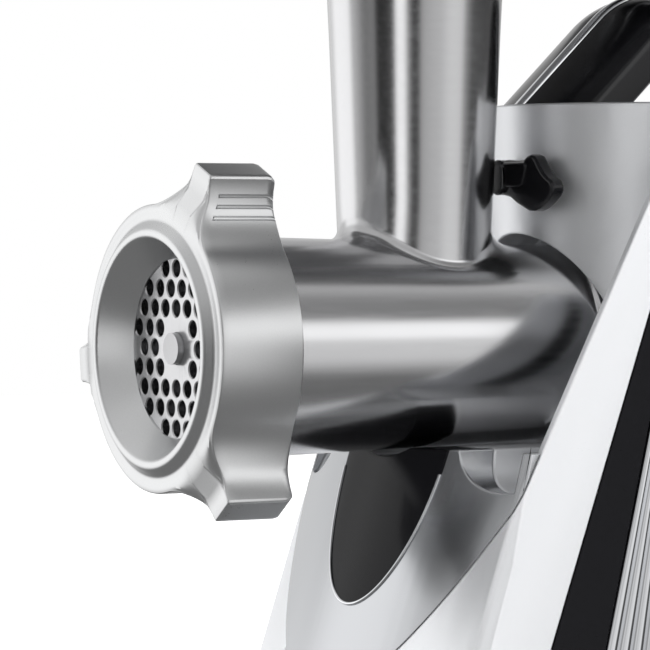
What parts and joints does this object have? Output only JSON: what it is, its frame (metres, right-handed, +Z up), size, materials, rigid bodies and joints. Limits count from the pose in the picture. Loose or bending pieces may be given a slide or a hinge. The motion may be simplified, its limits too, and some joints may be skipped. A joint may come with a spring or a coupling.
{
  "type": "electric meat grinder",
  "caption": "Electric meat grinder with a polished mincing barrel, upright feed neck and tray, lobed screw ring, wing lock knob, carrying handle and a geared motor in a silver body.",
  "frame": {"origin": "centre of the footprint of the whole machine, on the table", "axes": "+Z up, -Y out of the mincing outlet along the barrel, +X towards the side the lock's wing points to at rest"},
  "size_m": [0.148, 0.3421, 0.336],
  "materials": {
    "barrel": "polished, with soft upright reflections",
    "barrel_bush": "natural nylon",
    "auger": "cast, satin",
    "knife": "ground",
    "disc": "ground",
    "ring": "die-cast, fine satin",
    "tray": "satin",
    "pusher": "black gloss",
    "lock_knob": "black gloss",
    "lock_shaft": "turned",
    "socket_collar": "bright",
    "nose_shell": "silver gloss",
    "chin_panel": "silver gloss",
    "leaf_inlay": "black gloss",
    "side_panels": "silver gloss",
    "bands": "black gloss",
    "ridge_trims": "bright, ridged",
    "rear_shell": "silver gloss",
    "base_plate": "fine texture",
    "feet": "soft rubber",
    "screws": "plated",
    "handle": "black gloss",
    "handle_trim": "bright",
    "castings": "as cast",
    "steel_gears": "cut",
    "nylon_gears": "natural nylon",
    "bushes": "sintered bronze",
    "laminations": "stacked steel",
    "windings": "enamelled copper wire",
    "fan": "moulded",
    "bearings": "ground",
    "brushes": "carbon",
    "board": "green board with parts",
    "switch": "black"
  },
  "bodies": {
    "body": {"socket_collar": "socket_collar", "nose_shell": "nose_shell", "chin_panel": "chin_panel", "leaf_inlay": "leaf_inlay", "side_panel_left": "side_panels", "side_panel_right": "side_panels", "band_left": "bands", "band_right": "bands", "ridge_trim_left": "ridge_trims", "ridge_trim_right": "ridge_trims", "rear_shell": "rear_shell", "base_plate": "base_plate", "feet": "feet", "base_screws": "screws", "handle": "handle", "handle_trim": "handle_trim", "gear_case": "castings", "gear_cover": "castings", "cover_screws": "screws", "output_bushes": "bushes", "idler_bushes": "bushes", "stator_core": "laminations", "stator_coils": "windings", "motor_bracket": "castings", "motor_bearings": "bearings", "brush_holders": "bushes", "brushes": "brushes", "control_board": "board", "switch_body": "switch", "cord_gland": "switch"},
    "barrel": {"barrel": "barrel", "barrel_bush": "barrel_bush"},
    "auger": {"auger": "auger", "knife": "knife"},
    "disc": {"disc": "disc"},
    "ring": {"ring": "ring"},
    "tray": {"tray": "tray"},
    "pusher": {"pusher": "pusher"},
    "lock": {"lock_knob": "lock_knob", "lock_shaft": "lock_shaft"},
    "output": {"output_gear": "steel_gears"},
    "idler_2": {"gear_2": "nylon_gears", "pinion_2": "steel_gears"},
    "idler_1": {"gear_1": "nylon_gears", "pinion_1": "steel_gears"},
    "rotor": {"rotor_core": "laminations", "rotor_shaft": "steel_gears", "rotor_coils": "windings", "commutator": "windings", "fan": "fan"},
    "switch": {"rocker": "switch"}
  },
  "joints": [
    {"name": "idler_2_spin", "type": "hinge", "parent": "body", "child": "idler_2", "pos_m": [-0.02206, 0.03305, 0.12603], "axis": [0, 1, 0], "continuous": true},
    {"name": "idler_1_spin", "type": "hinge", "parent": "body", "child": "idler_1", "pos_m": [0.00667, 0.04505, 0.10193], "axis": [0, 1, 0], "continuous": true},
    {"name": "rotor_spin", "type": "hinge", "parent": "body", "child": "rotor", "pos_m": [0.00042, 0.09305, 0.06648], "axis": [0, 1, 0], "continuous": true},
    {"name": "output_spin", "type": "hinge", "parent": "body", "child": "output", "pos_m": [0, 0.02305, 0.16], "axis": [0, 1, 0], "continuous": true},
    {"name": "auger_spin", "type": "hinge", "parent": "barrel", "child": "auger", "pos_m": [0, -0.07695, 0.16], "axis": [0, 1, 0], "continuous": true},
    {"name": "barrel_slide", "type": "slide", "parent": "body", "child": "barrel", "axis": [0, -1, 0], "range_m": [0, 0.09]},
    {"name": "ring_turn", "type": "hinge", "parent": "disc", "child": "ring", "pos_m": [0, -0.15695, 0.16], "axis": [0, -1, 0], "range_deg": [0, 1440]},
    {"name": "disc_slide", "type": "slide", "parent": "barrel", "child": "disc", "axis": [0, -1, 0], "range_m": [0, 0.012]},
    {"name": "tray_lift", "type": "slide", "parent": "barrel", "child": "tray", "axis": [0, 0, 1], "range_m": [0, 0.06]},
    {"name": "pusher_lift", "type": "slide", "parent": "tray", "child": "pusher", "axis": [0, 0, 1], "range_m": [0, 0.14]},
    {"name": "lock_turn", "type": "hinge", "parent": "body", "child": "lock", "pos_m": [0, -0.01695, 0.214], "axis": [0, -1, 0], "range_deg": [0, 90]},
    {"name": "switch_rock", "type": "hinge", "parent": "body", "child": "switch", "pos_m": [0, 0.15905, 0.14], "axis": [1, 0, 0], "range_deg": [-8, 8]}
  ],
  "couplings": [
    {"joint": "idler_1_spin", "follows": "idler_2_spin", "ratio": -4},
    {"joint": "rotor_spin", "follows": "idler_2_spin", "ratio": 20},
    {"joint": "output_spin", "follows": "idler_2_spin", "ratio": -0.28571},
    {"joint": "auger_spin", "follows": "idler_2_spin", "ratio": -0.28571},
    {"joint": "disc_slide", "follows": "ring_turn", "m_per_rad": 0.00047746}
  ]
}
